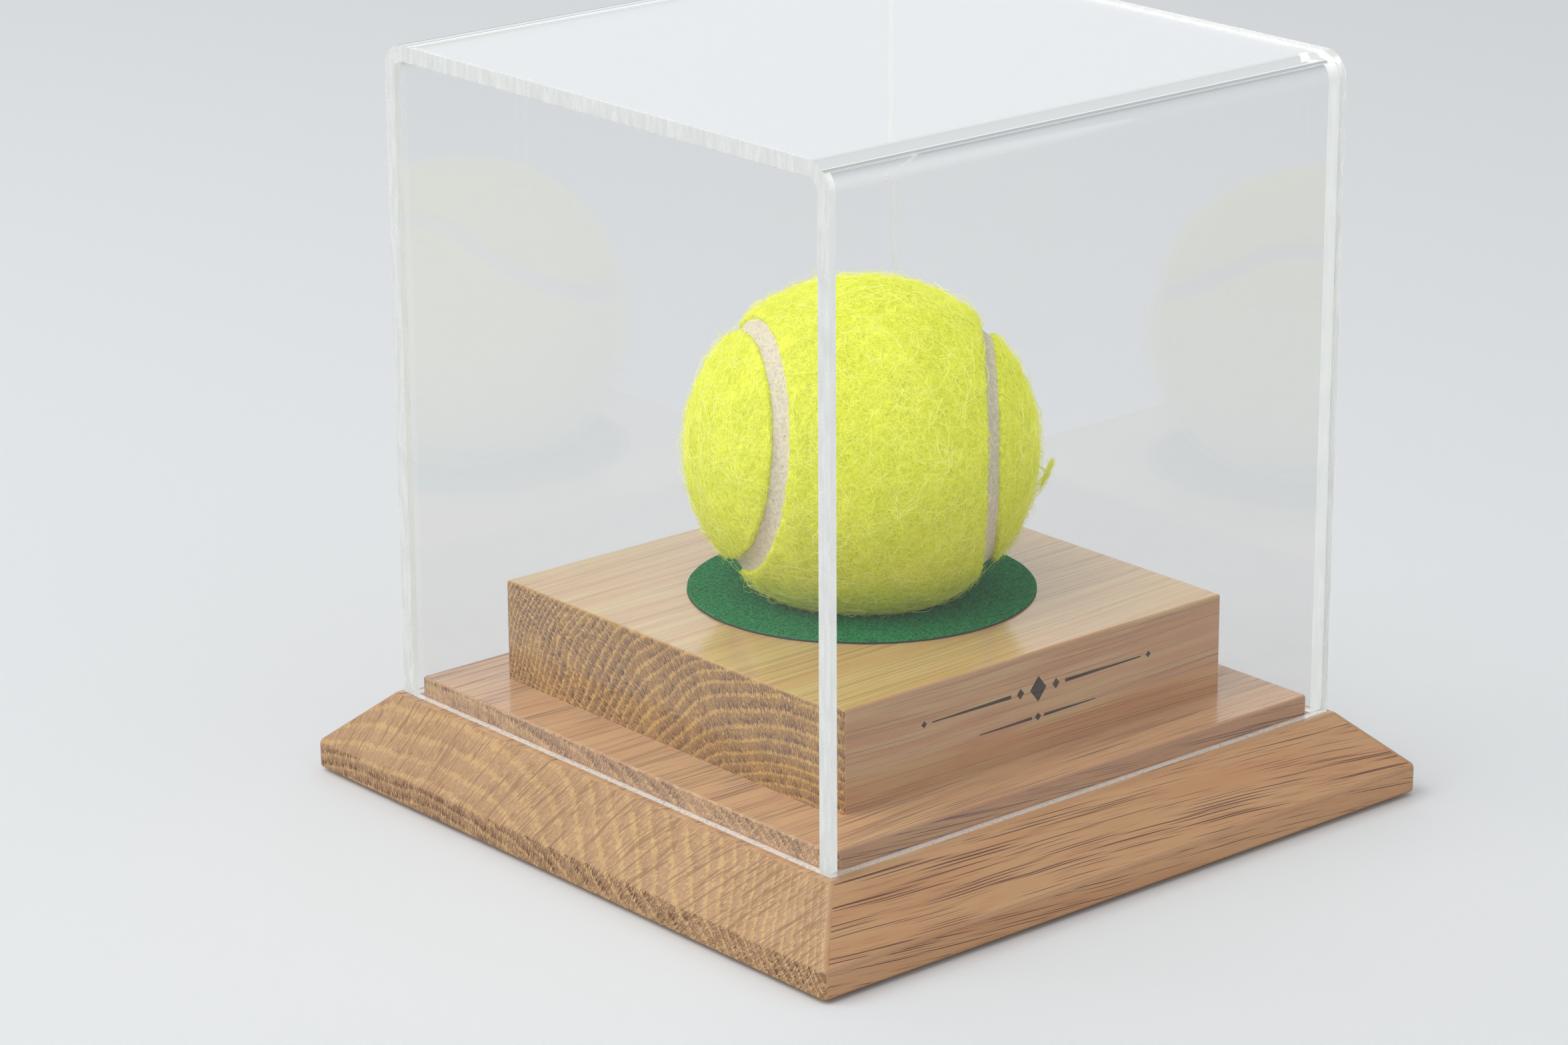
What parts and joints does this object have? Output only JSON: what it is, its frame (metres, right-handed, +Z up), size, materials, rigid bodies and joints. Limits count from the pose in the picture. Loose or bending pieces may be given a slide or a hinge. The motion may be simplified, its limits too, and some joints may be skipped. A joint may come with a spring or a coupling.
{
  "type": "tennis ball display case",
  "caption": "Square oak display plinth and block holding a tennis ball in a bored, felt-ringed seat under a clear lift-off acrylic cover.",
  "frame": {"origin": "centre of the underside, on the surface the case stands on", "axes": "+Z up; the block's front face looks to -Y; the cover's bonded end panels face -X and +X"},
  "size_m": [0.154, 0.154, 0.1488],
  "materials": {
    "oak": "satin lacquered oak",
    "green_flock": "matte flock",
    "green_baize": "matte baize",
    "zinc_steel": "zinc plated",
    "clear_acrylic": "clear polished acrylic with satin cut edges",
    "core_rubber": "matte moulded",
    "ball_felt": "napped felt",
    "seam_rubber": "matte grey"
  },
  "bodies": {
    "base": {"base_plinth": "oak", "display_block": "oak", "seat_felt_ring": "green_flock", "block_screws": "zinc_steel", "underside_baize": "green_baize"},
    "cover": {"cover_bent_sheet": "clear_acrylic", "cover_end_panel_left": "clear_acrylic", "cover_end_panel_right": "clear_acrylic"},
    "ball": {"ball_core_upper_half": "core_rubber", "ball_core_lower_half": "core_rubber", "ball_felt_panel_a": "ball_felt", "ball_felt_panel_b": "ball_felt", "ball_seam": "seam_rubber"}
  },
  "joints": [
    {"name": "cover_lift", "type": "slide", "parent": "base", "child": "cover", "axis": [0, 0, 1], "range_m": [0, 0.16]},
    {"name": "ball_lift", "type": "slide", "parent": "base", "child": "ball", "axis": [0, 0, 1], "range_m": [0, 0.04]}
  ]
}
